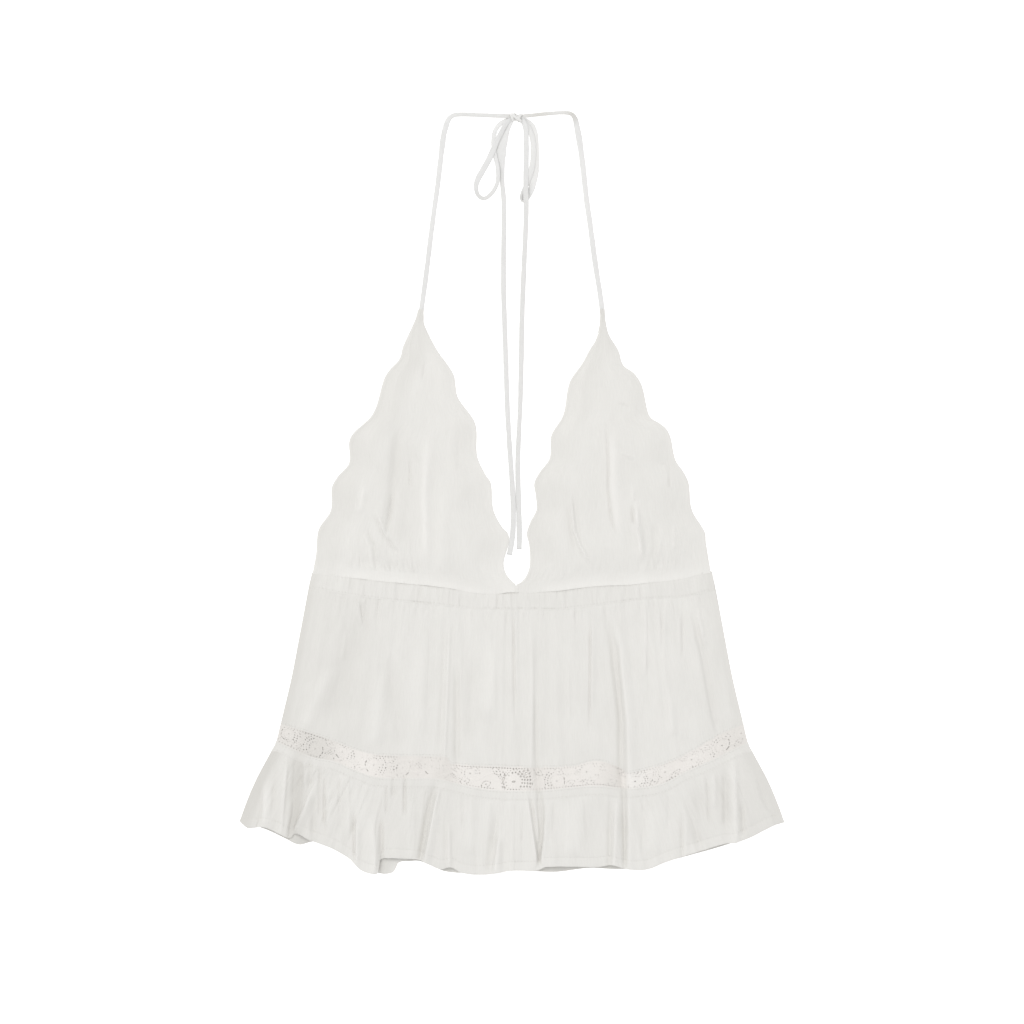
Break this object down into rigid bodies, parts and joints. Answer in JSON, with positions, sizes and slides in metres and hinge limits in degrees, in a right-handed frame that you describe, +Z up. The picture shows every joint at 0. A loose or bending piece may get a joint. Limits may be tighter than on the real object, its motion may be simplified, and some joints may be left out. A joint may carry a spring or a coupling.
{
  "type": "halter-neck peplum top",
  "caption": "Halter-neck cotton top laid flat: gathered scalloped cups, neck ties in a bow, elastic casing, gathered skirt, lace insertion and ruffled hem.",
  "frame": {"origin": "On the surface that the top lies on, under the middle of the box round the garment without its neck ties", "axes": "+X across the garment to the right as it is seen from above, +Y up the garment from its hem to its neck ties, +Z up off the surface"},
  "size_m": [0.491, 0.6872, 0.0119],
  "materials": {
    "gauze": "white crinkled cotton gauze, matt",
    "lace": "off-white cotton lace insertion, matt",
    "tie": "white self-fabric tie, matt"
  },
  "bodies": {
    "root": {"cup_left": "gauze", "cup_right": "gauze", "casing_front": "gauze", "casing_back": "gauze", "skirt_front": "gauze", "skirt_back": "gauze", "lace_front": "lace", "lace_back": "lace", "heading_front": "gauze", "heading_back": "gauze", "ruffle_front": "gauze", "ruffle_back": "gauze", "bow_knot": "tie", "strap_left": "tie", "strap_right": "tie", "bow_loop_left": "tie", "bow_loop_right": "tie", "tail_left": "tie", "tail_right": "tie"}
  },
  "joints": []
}
